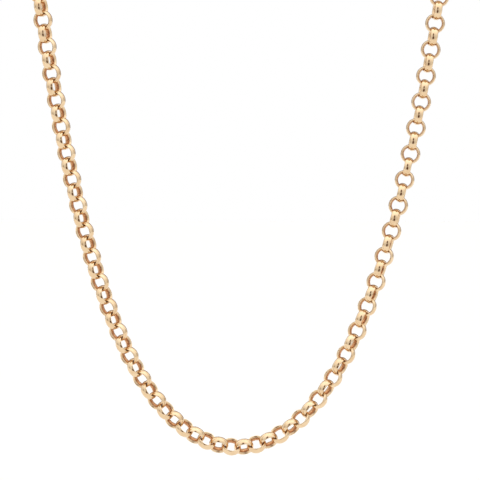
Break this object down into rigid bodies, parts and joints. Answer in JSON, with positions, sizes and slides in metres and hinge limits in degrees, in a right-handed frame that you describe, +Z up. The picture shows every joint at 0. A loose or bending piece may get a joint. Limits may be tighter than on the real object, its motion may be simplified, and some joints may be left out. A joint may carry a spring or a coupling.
{
  "type": "rolo chain necklace",
  "caption": "Closed neck chain of round domed-band links, each hung in the next, with its front in a deep hanging curve and a plain ring clasp at the nape.",
  "frame": {"origin": "the point on the nape where the necklace rests; half a link inside the middle line of the chain", "axes": "+Z up, -Y the wearer's front, +X to the right of someone facing the wearer"},
  "size_m": [0.11, 0.1177, 0.1621],
  "materials": {
    "chain": "polished rose gold outside, tumbled and slightly grainy inside the links",
    "clasp": "polished rose gold wire"
  },
  "bodies": {
    "root": {"chain_left": "chain", "chain_right": "chain", "clasp": "clasp"}
  },
  "joints": []
}
